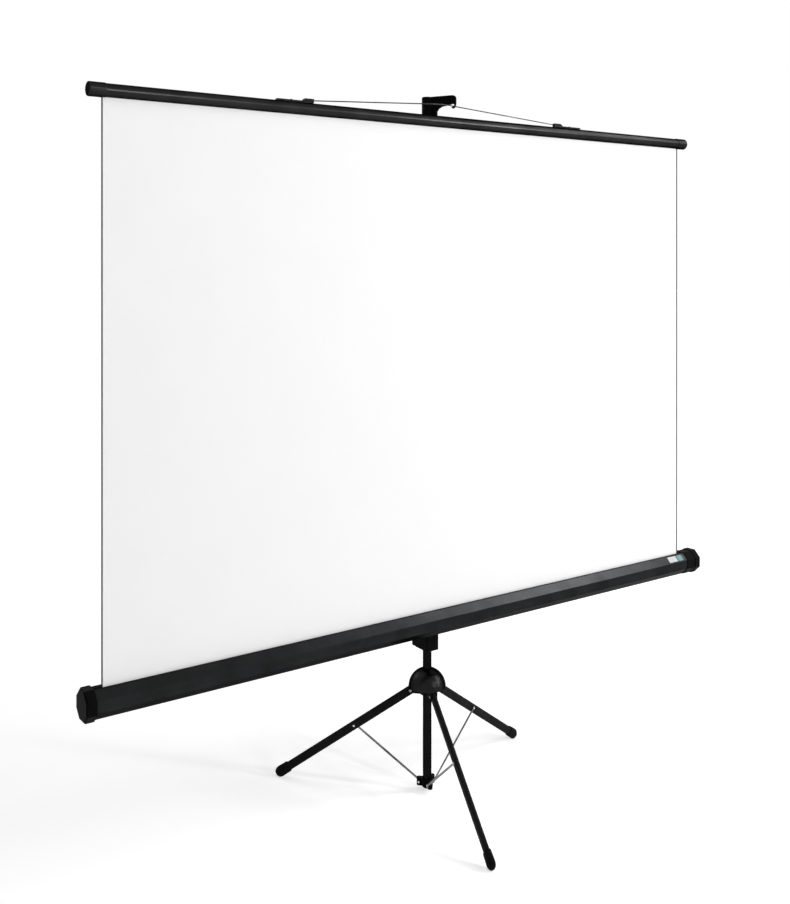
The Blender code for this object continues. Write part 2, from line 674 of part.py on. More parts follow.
def make_brace(body, number):
    """One flat brace and its upper stud; X runs from the lower pivot to the upper."""
    half = BRACE_WIDTH / 2
    turn = math.degrees(math.asin(half / BRACE_EYE_RADIUS))
    outline = arc((0, 0), BRACE_EYE_RADIUS, turn, 360 - turn, 12)
    outline += arc((brace_length, 0), BRACE_EYE_RADIUS, 180 + turn, 540 - turn, 12)
    upright = frame((0, 0, 0), (1, 0, 0), (0, 0, 1))
    near = -brace_side
    bm = bmesh.new()
    add_extruded(bm, outline, near, near + BRACE_THICKNESS, upright)
    brace = add_object("brace_%d" % number, bm, "steel", body)
    across = frame((0, 0, 0), (0, 0, 1), (1, 0, 0))
    drill(brace, "lower_eye", across, RIVET_RADIUS + RUNNING_FIT, -near * 3, 0)
    top = Matrix.Translation((brace_length, 0, 0)) @ across
    drill(brace, "upper_eye", top, RIVET_RADIUS + GAP, -near * 3, 0)
    outer = brace_side - BRACE_THICKNESS - GAP
    outline = [
        (0, brace_side), (RIVET_RADIUS, brace_side), (RIVET_RADIUS, outer), (RIVET_HEAD_RADIUS, outer),
        (RIVET_HEAD_RADIUS, outer - RIVET_HEAD_HEIGHT * 0.35),
        (RIVET_HEAD_RADIUS * 0.7, outer - RIVET_HEAD_HEIGHT), (0, outer - RIVET_HEAD_HEIGHT),
    ]
    bm = bmesh.new()
    add_turned(bm, outline, top, SMALL_SIDES)
    add_object("brace_stud_%d" % number, bm, "steel", body)


def make_carriage(liner_body, case_body, lever_body):
    """The liner on the pole, the carriage round it and the release lever behind."""
    bm = bmesh.new()
    add_turned(bm, pipe(on_pole, liner_outer, CARRIAGE_BOTTOM + 0.001, carriage_top - 0.001))
    add_object("slider_liner", bm, "nylon", liner_body)

    half = CARRIAGE_WIDTH / 2
    bm = bmesh.new()
    block = rounded_rectangle(-half, carriage_front, half, carriage_back, 0.005, 3)
    add_extruded(bm, block, CARRIAGE_BOTTOM, carriage_top)
    carriage = add_object("slider_carriage", bm, "black_plastic", case_body)
    cheek_low = CARRIAGE_BOTTOM + 0.001
    for name, side in (("left_cheek", -1), ("right_cheek", 1)):
        bm = bmesh.new()
        edge = lever_axis_y + CHEEK_MARGIN
        outline = [(carriage_back - 0.004, cheek_low), (edge - 0.002, cheek_low), (edge, cheek_low + 0.004)]
        outline += arc((lever_axis_y, lever_axis_z), 0.009, -60, 90, 6)
        outline.append((carriage_back - 0.004, lever_axis_z + 0.018))
        edges = sorted((side * half, side * (half - CHEEK_THICKNESS)))
        add_extruded(bm, outline, edges[0], edges[1], AXIS_X)
        combine(carriage, bm, name, "UNION")
    drill(carriage, "liner_bore", Matrix(), carriage_bore, 0, carriage_top * 2, SIDES)
    pin_place = Matrix.Translation((0, lever_axis_y, lever_axis_z)) @ AXIS_X
    drill(carriage, "lever_pin_hole", pin_place, LEVER_PIN_RADIUS + GAP, -CARRIAGE_WIDTH, CARRIAGE_WIDTH)
    bolt_place = Matrix.Translation((0, carriage_front, CASE_HEIGHT)) @ AXIS_Y
    drill(carriage, "bolt_hole", bolt_place, PIVOT_BOLT_RADIUS + GAP, -0.01, PIVOT_BOLT_BITE + GAP)

    bm = bmesh.new()
    add_turned(bm, rod(LEVER_PIN_RADIUS, -half, half), pin_place, SMALL_SIDES)
    add_object("lever_pin", bm, "steel", case_body)
    make_lever(lever_body)


def make_lever(body):
    """The release lever, with its origin on the pin; its tail hangs down to squeeze."""
    half = CARRIAGE_WIDTH / 2 - CHEEK_THICKNESS - 0.0006
    outer = LEVER_STANDOFF - LEVER_AXIS_BACK
    inner = outer - LEVER_THICKNESS
    head = 0.0075
    outline = arc((0, 0), head, 0, 180, 8)
    outline += [(-head, -0.012), (inner, -0.022), (inner, -LEVER_LENGTH * 0.75), (inner + 0.003, -LEVER_LENGTH)]
    outline += [(outer + 0.0015, -LEVER_LENGTH), (outer, -LEVER_LENGTH * 0.72), (outer, -0.020)]
    bm = bmesh.new()
    add_extruded(bm, outline, -half, half, AXIS_X)
    lever = add_object("release_lever", bm, "black_plastic", body)
    drill(lever, "pin_hole", AXIS_X, LEVER_PIN_RADIUS + RUNNING_FIT, -half * 2, half * 2)
    notch = bmesh.new()
    add_turned(notch, rod(head + 0.004, -0.0075, 0.0075), AXIS_X, SMALL_SIDES)
    combine(lever, notch, "spring_notch", "DIFFERENCE")
    bm = bmesh.new()
    add_turned(bm, pipe(LEVER_PIN_RADIUS + GAP, 0.0052, -0.0068, 0.0068), AXIS_X, SMALL_SIDES)
    add_object("lever_spring", bm, "steel", body)


def make_pivot(body):
    """The bolt and washer that hold the case on the carriage."""
    place = Matrix.Translation((0, carriage_front, CASE_HEIGHT)) @ AXIS_Y
    low = -PIVOT_STANDOFF + GAP
    bm = bmesh.new()
    add_turned(bm, pipe(PIVOT_BOLT_RADIUS + GAP, PIVOT_WASHER_RADIUS, low, -GAP), place)
    add_object("pivot_washer", bm, "black_plastic", body)
    inside = -PIVOT_STANDOFF - CASE_WALL - GAP
    outline = [
        (0, inside - PIVOT_HEAD_HEIGHT), (PIVOT_HEAD_RADIUS - 0.001, inside - PIVOT_HEAD_HEIGHT),
        (PIVOT_HEAD_RADIUS, inside - PIVOT_HEAD_HEIGHT + 0.001), (PIVOT_HEAD_RADIUS, inside),
        (PIVOT_BOLT_RADIUS, inside), (PIVOT_BOLT_RADIUS, PIVOT_BOLT_BITE), (0, PIVOT_BOLT_BITE),
    ]
    bm = bmesh.new()
    add_turned(bm, outline, place, 24)
    add_object("pivot_bolt", bm, "steel", body)


def make_case(body):
    """The eight-sided case with its fabric slot, end caps and blank label."""
    centre = Matrix.Translation((0, case_y, CASE_HEIGHT)) @ AXIS_X
    slot_front = fabric_y - case_y - CASE_SLOT / 2
    slot_back = slot_front + CASE_SLOT
    outer = octagon(CASE_FLATS)
    inner = octagon(CASE_FLATS - 2 * CASE_WALL)
    top = CASE_FLATS / 2
    outline = [(slot_front, top)] + outer[2:] + outer[:2] + [(slot_back, top)]
    outline += [(slot_back, top - CASE_WALL)] + inner[1::-1] + inner[:1:-1] + [(slot_front, top - CASE_WALL)]
    bm = bmesh.new()
    add_extruded(bm, outline, -case_ends[-1], case_ends[1], centre)
    case = add_object("case_shell", bm, "grey_paint", body)
    bolt_place = Matrix.Translation((0, case_back, CASE_HEIGHT)) @ AXIS_Y
    drill(case, "bolt_hole", bolt_place, PIVOT_BOLT_RADIUS + GAP, -CASE_WALL * 3, CASE_WALL * 3)
    make_case_cap(body, "end_cap_left", -1, 0, SPRING_SHAFT_RADIUS + GAP)
    make_case_cap(body, "end_cap_right", 1, CAP_SKIRT, ROLLER_PIN_RADIUS + RUNNING_FIT)

    across = (0, math.cos(math.radians(45)), math.sin(math.radians(45)))
    facet = frame((0, case_y, CASE_HEIGHT), (1, 0, 0), across)
    label_right = case_ends[1] - CAP_GRIP - CAP_SKIRT - LABEL_INSET
    low = CASE_FLATS / 2 + GAP
    bm = bmesh.new()
    plate = rounded_rectangle(label_right - LABEL_LENGTH, -LABEL_WIDTH / 2, label_right, LABEL_WIDTH / 2, 0.001)
    add_extruded(bm, plate, low, low + LABEL_THICKNESS, facet)
    add_object("label_plate", bm, "label", body)


def make_case_cap(body, name, side, skirt, bore):
    """An end cap that sleeves the case and carries one end of the roller; a skirt may lead up to it."""
    centre = Matrix.Translation((0, case_y, CASE_HEIGHT)) @ AXIS_X
    inner = CASE_FLATS + 2 * GAP
    mouth = case_ends[side] - CAP_GRIP
    plate = cap_plates[side]
    outer = plate + CAP_PLATE
    steps = [(plate, inner), (mouth - skirt, inner)]
    if skirt:
        sleeve = inner + 2 * CAP_SKIRT_WALL
        steps += [(mouth - skirt, sleeve), (mouth, sleeve)]
    steps += [
        (mouth, CAP_FLATS - 0.002), (mouth + 0.001, CAP_FLATS),
        (outer - CAP_CHAMFER, CAP_FLATS), (outer, CAP_FLATS - 2 * CAP_CHAMFER),
    ]
    rings = []
    for x, flats in steps:
        rings.append([centre @ Vector((y, z, side * x)) for y, z in octagon(flats)])
    bm = bmesh.new()
    add_rings(bm, rings)
    cap = add_object(name, bm, "black_plastic", body)
    axis = Matrix.Translation((0, roller_y, CASE_HEIGHT)) @ AXIS_X
    ends = sorted((side * (plate - CAP_BOSS_LENGTH), side * (plate + 0.001)))
    bm = bmesh.new()
    add_turned(bm, rod(CAP_BOSS_RADIUS, ends[0], ends[1]), axis, 24)
    combine(cap, bm, "boss", "UNION")
    ends = sorted((side * (plate - CAP_BOSS_LENGTH * 2), side * (plate + CAP_PLATE / 2)))
    drill(cap, "bearing", axis, bore, ends[0], ends[1], 24)


def make_roller(case_body, roller_body):
    """The spring roller in the case, with its fixed shaft and the turns left on it."""
    bore = ROLLER_RADIUS - ROLLER_WALL
    bm = bmesh.new()
    add_turned(bm, pipe(bore, ROLLER_RADIUS, -roller_ends[-1], roller_ends[1]), AXIS_X, 24)
    add_object("roller_tube", bm, "aluminium", roller_body)
    bm = bmesh.new()
    add_turned(bm, pipe(roll_inner, roll_outer, -FABRIC_HALF, FABRIC_HALF), AXIS_X, 24)
    add_object("fabric_roll", bm, "fabric", roller_body)

    flange = roller_ends[1] + GAP
    inside = flange - ROLLER_PLUG_DEPTH
    pin_end = cap_plates[1] + CAP_PLATE / 2 - 2 * GAP
    outline = [
        (0, inside), (bore - GAP, inside), (bore - GAP, flange), (ROLLER_RADIUS, flange),
        (ROLLER_RADIUS, flange + ROLLER_PLUG_FLANGE), (ROLLER_PIN_RADIUS, flange + ROLLER_PLUG_FLANGE),
        (ROLLER_PIN_RADIUS, pin_end), (0, pin_end),
    ]
    bm = bmesh.new()
    add_turned(bm, outline, AXIS_X, 24)
    add_object("idle_plug", bm, "nylon", roller_body)
    flange = roller_ends[-1] + GAP
    inside = flange - ROLLER_PLUG_DEPTH
    hole = SPRING_SHAFT_RADIUS + RUNNING_FIT
    spigot = SPRING_RADIUS - SPRING_WALL - GAP
    outline = [
        (hole, SPRING_SEAT - inside), (hole, -flange - ROLLER_PLUG_FLANGE),
        (ROLLER_RADIUS, -flange - ROLLER_PLUG_FLANGE), (ROLLER_RADIUS, -flange), (bore - GAP, -flange),
        (bore - GAP, -inside), (spigot, -inside), (spigot, SPRING_SEAT - inside),
    ]
    bm = bmesh.new()
    add_turned(bm, outline, AXIS_X, 24)
    add_object("spring_plug", bm, "nylon", roller_body)

    axis = Matrix.Translation((0, roller_y, CASE_HEIGHT)) @ AXIS_X
    start = -(cap_plates[-1] + CAP_PLATE / 2 - 2 * GAP)
    bm = bmesh.new()
    add_turned(bm, rod(SPRING_SHAFT_RADIUS, start, start + SPRING_SHAFT_LENGTH), axis, SMALL_SIDES)
    add_object("spring_shaft", bm, "steel", case_body)
    start = GAP - inside
    bm = bmesh.new()
    coil = pipe(SPRING_RADIUS - SPRING_WALL, SPRING_RADIUS, start, start + SPRING_LENGTH)
    add_turned(bm, coil, AXIS_X, SMALL_SIDES)
    add_object("roller_spring", bm, "steel", roller_body)


def make_bar(body):
    """The slotted top bar with its caps, batten and fabric; the origin is on its axis."""
    opening = math.degrees(math.asin(BAR_SLOT / 2 / BAR_RADIUS))
    bore_opening = math.degrees(math.asin(BAR_SLOT / 2 / bar_bore))
    outline = arc((0, 0), BAR_RADIUS, -90 + opening, 270 - opening, SIDES)
    outline += arc((0, 0), bar_bore, 270 - bore_opening, -90 + bore_opening, SIDES)
    bm = bmesh.new()
    add_extruded(bm, outline, -bar_half, bar_half, AXIS_X)
    tube = add_object("bar_tube", bm, "black_paint", body)

    for name, side in (("bar_cap_left", -1), ("bar_cap_right", 1)):
        inner = BAR_RADIUS + GAP
        outer = inner + BAR_CAP_WALL
        plate = bar_half + GAP
        end = plate + BAR_CAP_PLATE
        outline = [(inner, bar_half - BAR_CAP_GRIP), (outer, bar_half - BAR_CAP_GRIP), (outer, end - 0.003)]
        outline += [(outer - 0.001, end - 0.001), (outer - 0.0035, end), (0, end), (0, plate), (inner, plate)]
        bm = bmesh.new()
        add_turned(bm, [(radius, side * x) for radius, x in outline], AXIS_X)
        cap = add_object(name, bm, "black_plastic", body)
        bm = bmesh.new()
        box = rounded_rectangle(-BAR_SLOT / 2, -outer * 2, BAR_SLOT / 2, 0, BAR_SLOT / 4, 1)
        ends = sorted((side * (bar_half - BAR_CAP_GRIP * 2), side * (FABRIC_HALF + BAR_SLOT)))
        add_extruded(bm, box, ends[0], ends[1], AXIS_X)
        combine(cap, bm, "fabric_slot", "DIFFERENCE")

    low = batten_low - BAR_HEIGHT
    half = BATTEN_WIDTH / 2
    bm = bmesh.new()
    batten_half = FABRIC_HALF - BATTEN_MARGIN
    strip = [(-half, low), (half, low), (half, low + BATTEN_THICKNESS), (-half, low + BATTEN_THICKNESS)]
    add_extruded(bm, strip, -batten_half, batten_half, AXIS_X)
    add_object("batten", bm, "aluminium", body)

    half = FABRIC_THICKNESS / 2
    low = CASE_HEIGHT - BAR_HEIGHT
    high = fabric_top - BAR_HEIGHT
    bm = bmesh.new()
    add_extruded(bm, [(-half, low), (half, low), (half, high), (-half, high)], -FABRIC_HALF, FABRIC_HALF, AXIS_X)
    add_object("screen_fabric", bm, "fabric", body)
    make_bail_brackets(body, tube)


def make_bail_brackets(body, tube):
    """The two brackets on the bar that hold the bail's ends, and their screws."""
    low = BAR_RADIUS + GAP
    foot_top = low + BAIL_FOOT_THICKNESS
    eye_z = BAR_RADIUS + BAIL_AXIS_RISE
    eye_top = eye_z + BAIL_WIRE_RADIUS + BAIL_EYE_WALL
    inner = BAIL_HALF + 0.002
    outer = inner + BAIL_BRACKET_LENGTH
    half = BAIL_BRACKET_WIDTH / 2
    for name, side in (("left", -1), ("right", 1)):
        outline = [
            (inner, low), (outer, low), (outer, foot_top - 0.001), (outer - 0.002, foot_top),
            (inner + BAIL_EYE_LENGTH + 0.008, foot_top), (inner + BAIL_EYE_LENGTH, eye_top), (inner, eye_top),
        ]
        upright = frame((0, 0, 0), (1, 0, 0), (0, 0, 1))
        bm = bmesh.new()
        add_extruded(bm, [(side * x, z) for x, z in outline], -half, half, upright)
        bracket = add_object("bail_bracket_" + name, bm, "steel", body)
        eye = Matrix.Translation((0, 0, eye_z)) @ AXIS_X
        ends = sorted((side * (inner - 0.01), side * (inner + BAIL_END + GAP)))
        drill(bracket, "eye", eye, BAIL_WIRE_RADIUS + RUNNING_FIT, ends[0], ends[1])
        place = Matrix.Translation((side * (inner + BAIL_SCREW_ALONG), 0, foot_top + GAP))
        bore = BAIL_SCREW_RADIUS + GAP
        drill(bracket, "screw_hole", place, bore, -BAIL_SCREW_LENGTH, 0.01, 12)
        drill(tube, "screw_hole_" + name, place, bore, -BAIL_SCREW_LENGTH, 0.01, 12)
        outline = [
            (0, -BAIL_SCREW_LENGTH + GAP), (BAIL_SCREW_RADIUS, -BAIL_SCREW_LENGTH + GAP),
            (BAIL_SCREW_RADIUS, 0), (BAIL_SCREW_HEAD, 0), (BAIL_SCREW_HEAD, 0.0008),
            (BAIL_SCREW_HEAD * 0.6, 0.0016), (0, 0.0016),
        ]
        bm = bmesh.new()
        add_turned(bm, outline, place, 12)
        add_object("bail_screw_" + name, bm, "steel", body)


def make_bail(body):
    """The wire bail, with its origin on its hinge line."""
    run = BAIL_HALF - BAIL_BEND
    xs = [-BAIL_HALF - BAIL_END, -BAIL_HALF]
    xs += [-BAIL_HALF + run * share for share in (0.03, 0.3, 0.55, 0.8)]
    xs += [-BAIL_BEND + BAIL_BEND * i / 4 for i in range(4)]
    xs = xs + [0.0] + [-x for x in reversed(xs)]
    curve = bpy.data.curves.new("bail", "CURVE")
    curve.dimensions = "3D"
    curve.bevel_depth = BAIL_WIRE_RADIUS
    curve.bevel_resolution = 2
    curve.use_fill_caps = True
    spline = curve.splines.new("POLY")
    spline.points.add(len(xs) - 1)
    for point, x in zip(spline.points, xs):
        rise = bail_rise(x) if abs(x) < BAIL_HALF else 0.0
        point.co = (x, 0, rise, 1)
    curve.materials.append(new_material("bail", "steel"))
    obj = bpy.data.objects.new("bail", curve)
    obj.parent = body
    bpy.context.scene.collection.objects.link(obj)


def make_mast(body):
    """The mast tube with its guide bush, and the hook pinned on its top."""
    tube_top = hook_top - HOOK_CROWN - GAP
    bm = bmesh.new()
    add_turned(bm, pipe(mast_bore, mast_radius, MAST_BOTTOM, tube_top))
    tube = add_object("mast_tube", bm, "black_paint", body)
    flange = MAST_BOTTOM - GAP
    low = flange - MAST_BUSH_FLANGE
    guide = pole_bore - SLIDING_FIT / 2
    outline = [
        (0, low), (guide - 0.001, low), (guide, low + 0.001), (guide, flange),
        (mast_bore - GAP, flange), (mast_bore - GAP, flange + PLUG_DEPTH), (0, flange + PLUG_DEPTH),
    ]
    bm = bmesh.new()
    add_turned(bm, outline)
    add_object("mast_bush", bm, "nylon", body)

    bore = mast_radius + GAP
    sleeve = bore + HOOK_SLEEVE_WALL
    outline = [
        (0, hook_top - HOOK_CROWN), (bore, hook_top - HOOK_CROWN), (bore, hook_bottom), (sleeve, hook_bottom),
        (sleeve, hook_top - 0.002), (sleeve - 0.002, hook_top), (0, hook_top),
    ]
    bm = bmesh.new()
    add_turned(bm, outline)
    hook = add_object("mast_hook", bm, "black_plastic", body)
    bm = bmesh.new()
    direction = (math.cos(hook_azimuth), math.sin(hook_azimuth), 0)
    arm = frame((0, 0, 0), direction, (0, 0, 1))
    add_extruded(bm, hook_outline(bore), -HOOK_ARM_THICKNESS / 2, HOOK_ARM_THICKNESS / 2, arm)
    combine(hook, bm, "arm", "UNION")

    middle = (hook_bottom + hook_top - HOOK_CROWN) / 2
    place = tangent_frame(hook_azimuth, 0, middle)
    drill(hook, "pin_hole", place, HOOK_PIN_RADIUS + GAP, -sleeve * 2, sleeve * 2)
    drill(tube, "pin_hole", place, HOOK_PIN_RADIUS + GAP, -sleeve * 2, sleeve * 2)
    bm = bmesh.new()
    pin = headed_pin(HOOK_PIN_RADIUS, RIVET_HEAD_RADIUS, RIVET_HEAD_HEIGHT, -sleeve - GAP, sleeve + GAP)
    add_turned(bm, pin, place, SMALL_SIDES)
    add_object("hook_pin", bm, "steel", body)


def hook_outline(bore):
    """The side of the hook's arm and claw, along the arm and up."""
    seat = hook_reach
    wire_z = hook_wire_z
    seat_z = wire_z - BAIL_WIRE_RADIUS - 2 * GAP
    skew = HOOK_ARM_THICKNESS / 2 * math.tan(HOOK_TURN)
    pocket = skew + BAIL_WIRE_RADIUS / math.cos(HOOK_TURN) + 2 * GAP
    front = seat + pocket
    nose = seat + HOOK_NOSE
    roof = wire_z + 0.0065
    web = 0.032
    start = bore + 0.001
    outline = [(start, hook_bottom), (web, hook_bottom), (web, hook_bottom + 0.012)]
    outline += [(web + 0.006, seat_z - 0.002), (web + 0.016, seat_z + 0.003), (seat - 0.018, roof - 0.003)]
    outline += [(seat - pocket - 0.003, roof - 0.001), (seat - pocket + 0.002, roof)]
    outline += [(front, roof), (front, seat_z), (seat - pocket + 0.0015, seat_z), (seat - pocket, seat_z - 0.0015)]
    outline += [(seat - 0.001, seat_z - HOOK_LIP), (seat + 0.003, seat_z - HOOK_LIP * 0.7)]
    outline += [(nose - 0.0012, seat_z + 0.002), (nose, seat_z + 0.010)]
    outline += arc((nose - 0.010, hook_top - 0.010), 0.010, 0, 90, 5)
    outline.append((start, hook_top))
    return outline


def centre_over_footprint(stand):
    """Put the middle of the model's box over the origin, with its feet on z = 0."""
    bpy.context.view_layer.update()
    depsgraph = bpy.context.evaluated_depsgraph_get()
    low = Vector((math.inf,) * 3)
    high = Vector((-math.inf,) * 3)
    for obj in bpy.context.scene.objects:
        if obj.type == "EMPTY" or obj.hide_render:
            continue
        solid = obj.evaluated_get(depsgraph)
        mesh = solid.to_mesh()
        for vertex in mesh.vertices:
            point = solid.matrix_world @ vertex.co
            low = Vector(map(min, low, point))
            high = Vector(map(max, high, point))
        solid.to_mesh_clear()
    stand.location = (-(low.x + high.x) / 2, -(low.y + high.y) / 2, -low.z)
    bpy.context.view_layer.update()


def build():
    """Make every body's frame, and the pieces on it."""
    clear_scene()
    stand = add_empty("stand")
    pole = add_empty("pole_frame", stand)
    make_pole(pole)
    knob = add_empty("knob_frame", stand)
    knob.matrix_local = lock_frame()
    make_lock_knob(knob)

    hub = add_empty("hub_frame", stand)
    make_hub(hub)
    for index, azimuth in enumerate(leg_azimuths):
        number = index + 1
        pivot = polar(azimuth, LEG_PIVOT_RADIUS, 0, leg_pivot_height)
        leg = add_empty("leg_frame_%d" % number, stand, pivot, (0, LEG_PITCH, azimuth))
        make_leg(leg, number)
        ear = polar(azimuth, BRACE_FOOT_RADIUS, 0, BRACE_FOOT_HEIGHT)
        brace = add_empty("brace_frame_%d" % number, stand, ear, (0, -brace_pitch, azimuth))
        make_brace(brace, number)

    liner = add_empty("liner_frame", stand)
    case = add_empty("case_frame", stand)
    lever = add_empty("lever_frame", stand, (0, lever_axis_y, lever_axis_z))
    make_carriage(liner, case, lever)
    make_pivot(case)
    make_case(case)
    roller = add_empty("roller_frame", stand, (0, roller_y, CASE_HEIGHT))
    make_roller(case, roller)

    bar = add_empty("bar_frame", stand, (0, fabric_y, BAR_HEIGHT))
    make_bar(bar)
    bail = add_empty("bail_frame", stand, (0, fabric_y, bail_axis_z))
    make_bail(bail)
    mast = add_empty("mast_frame", stand)
    make_mast(mast)
    centre_over_footprint(stand)


build()
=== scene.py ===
"""The projector screen dressed for its photograph: finishes, fabric, camera and light."""
import math

import bmesh
import bpy
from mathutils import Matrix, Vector


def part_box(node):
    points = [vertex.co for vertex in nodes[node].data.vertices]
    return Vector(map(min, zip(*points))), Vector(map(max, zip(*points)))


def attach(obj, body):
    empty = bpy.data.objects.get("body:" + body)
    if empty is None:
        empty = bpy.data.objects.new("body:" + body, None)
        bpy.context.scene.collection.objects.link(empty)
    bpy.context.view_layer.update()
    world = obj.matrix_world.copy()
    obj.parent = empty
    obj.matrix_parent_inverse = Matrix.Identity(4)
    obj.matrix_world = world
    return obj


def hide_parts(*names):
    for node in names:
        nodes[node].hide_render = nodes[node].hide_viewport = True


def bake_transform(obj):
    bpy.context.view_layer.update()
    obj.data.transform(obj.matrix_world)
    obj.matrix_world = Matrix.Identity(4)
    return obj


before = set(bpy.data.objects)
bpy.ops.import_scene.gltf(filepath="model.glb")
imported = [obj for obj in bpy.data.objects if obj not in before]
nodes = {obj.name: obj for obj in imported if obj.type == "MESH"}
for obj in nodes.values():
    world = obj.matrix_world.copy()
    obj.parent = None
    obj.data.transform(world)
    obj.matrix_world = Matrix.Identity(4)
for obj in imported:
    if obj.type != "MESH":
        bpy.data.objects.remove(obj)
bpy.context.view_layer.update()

pole_low, pole_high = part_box("outer_tube")
POLE = Vector(((pole_low.x + pole_high.x) / 2, (pole_low.y + pole_high.y) / 2, 0.0))


# Values of the finishes; lengths are in metres, and noise scales are for object coordinates

MOTTLE_SCALE = 14.0
MOTTLE_DETAIL = 3.0
MOTTLE_DARK, MOTTLE_PLAIN, MOTTLE_LIGHT = 0.35, 0.5, 0.68    # places on the colour ramp
GRAIN_DETAIL = 4.0
GRAIN_ROUGHNESS = 0.6
GRAIN_DEPTH = 0.0002
LEAST_ROUGH = 0.02

WEAVE_PITCH = 0.0006
WEAVE_DEPTH = 0.0001
WEAVE_DISTORTION = 0.3
CLOTH_SPECULAR = 0.2
CLOTH_SHEEN = 0.1
SLUB_SCALE = 5.0
SLUB_DETAIL = 2.0
SLUB_DARK, SLUB_PLAIN = 0.3, 0.7                             # places on the colour ramp

# Values of the fabric's two pieces, in metres

FABRIC_COLUMNS, FABRIC_ROWS = 158, 110
LEFT_STRIP, RIGHT_STRIP = 0.0035, 0.0055                     # dark strips along the sheet's edges
FRONT_SIDE, BACK_SIDE = 0, 1                                 # the sheet's two material slots
ROLL_SIDES = 64
ROLL_CLEARANCE = 0.0002                                      # between the roller and the turns
ROLL_END_DROP = 0.0001
ROLL_END_LENGTH = 0.001

# Values of the camera, which the photograph's perspective sets

SENSOR_WIDTH = 36.0                                          # millimetres
LENS = 42.97                                                 # millimetres
CAMERA_SHIFT = -0.2102
CAMERA_PLACE = (-1.883, -2.511, 1.533)                       # from the pole's foot
CAMERA_TILT, CAMERA_TURN = 90, -35.16                        # degrees
CAMERA_REACH = 200.0

# Values of the surroundings

WORLD_FILL, WORLD_SEEN = 0.24, 1.0                           # strength on things, and where seen
FLOOR_RADIUS = 60.0
FLOOR_SIDES = 96
FLOOR_GAP = 0.0005
FLOOR_SHADE = 0.86
FLOOR_ROUGH = 0.9
FLOOR_SPECULAR = 0.1
GLOW_START, GLOW_END = 3.0, 10.0                             # distances from the floor's middle
GLOW_NEAR, GLOW_FAR = 0.50, 0.82


# Materials

def grey(level):
    """A colour with its three parts equal."""
    return (level, level, level)


def shade(colour, factor):
    """A colour made lighter or darker, with its alpha."""
    return tuple(min(1.0, c * factor) for c in colour[:3]) + (1.0,)


def node(tree, kind, **inputs):
    """A shader node with some of its inputs set."""
    made = tree.nodes.new(kind)
    for name, value in inputs.items():
        made.inputs[name.replace("_", " ")].default_value = value
    return made


def coordinates(tree, space):
    """The texture coordinates of a space."""
    return tree.nodes.new("ShaderNodeTexCoord").outputs[space]


def noise(tree, scale, detail, **inputs):
    """The strength of a noise over the piece."""
    made = node(tree, "ShaderNodeTexNoise", Scale=scale, Detail=detail, **inputs)
    tree.links.new(coordinates(tree, "Object"), made.inputs["Vector"])
    return made.outputs["Fac"]


def ramp(tree, factor, stops):
    """A colour ramp over a factor; stops are (position, colour) pairs."""
    made = tree.nodes.new("ShaderNodeValToRGB")
    while len(made.color_ramp.elements) < len(stops):
        made.color_ramp.elements.new(0.5)
    for element, (position, colour) in zip(made.color_ramp.elements, stops):
        element.position = position
        element.color = colour
    tree.links.new(factor, made.inputs["Fac"])
    return made.outputs["Color"]


def emboss(tree, shader, height, strength, depth):
    """Relief on a shader from a height."""
    relief = node(tree, "ShaderNodeBump", Strength=strength, Distance=depth)
    tree.links.new(height, relief.inputs["Height"])
    tree.links.new(relief.outputs["Normal"], shader.inputs["Normal"])


def new_material(name, specular):
    """A material, its tree and its shader."""
    material = bpy.data.materials.new(name)
    material.use_nodes = True
    tree = material.node_tree
    shader = tree.nodes["Principled BSDF"]
    shader.inputs["Specular IOR Level"].default_value = specular
    return material, tree, shader


def grained(name, rough, metallic=0.0, grain=900, bump=0.15, specular=0.5, rough_range=0.06, edge=1.0):
    """A surface with fine grain and uneven gloss, whose colour is still to be set."""
    material, tree, shader = new_material(name, specular)
    shader.inputs["Metallic"].default_value = metallic
    shader.inputs["Specular Tint"].default_value = shade(grey(edge), 1)
    fine = noise(tree, grain, GRAIN_DETAIL, Roughness=GRAIN_ROUGHNESS)
    gloss = node(tree, "ShaderNodeMapRange", To_Min=max(LEAST_ROUGH, rough - rough_range),
                 To_Max=min(1.0, rough + rough_range))
    tree.links.new(fine, gloss.inputs["Value"])
    tree.links.new(gloss.outputs["Result"], shader.inputs["Roughness"])
    emboss(tree, shader, fine, bump, GRAIN_DEPTH)
    return material, tree, shader


def surface(name, colour, rough, mottle=0.18, **look):
    """A painted, moulded or metal surface with fine grain, faint mottling and uneven gloss."""
    material, tree, shader = grained(name, rough, **look)
    stops = [(MOTTLE_DARK, shade(colour, 1 - mottle)), (MOTTLE_PLAIN, shade(colour, 1)),
             (MOTTLE_LIGHT, shade(colour, 1 + mottle))]
    mottled = ramp(tree, noise(tree, MOTTLE_SCALE, MOTTLE_DETAIL), stops)
    tree.links.new(mottled, shader.inputs["Base Color"])
    return material


def sticker(name, first, second):
    """A blank film label: one colour on its left half, another on its right, then a dark margin."""
    material, tree, shader = grained(name, 0.35, bump=0.03, specular=0.15)
    split = tree.nodes.new("ShaderNodeSeparateXYZ")
    tree.links.new(coordinates(tree, "Generated"), split.inputs["Vector"])
    margin = shade(grey(0.012), 1)
    stops = [(0.0, shade(first, 1)), (0.47, shade(first, 1)),
             (0.49, shade(second, 0.8)), (0.58, shade(second, 1)),
             (0.62, shade(second, 1.6)), (0.80, shade(second, 1.5)),
             (0.86, margin), (1.0, margin)]
    tree.links.new(ramp(tree, split.outputs["X"], stops), shader.inputs["Base Color"])
    return material


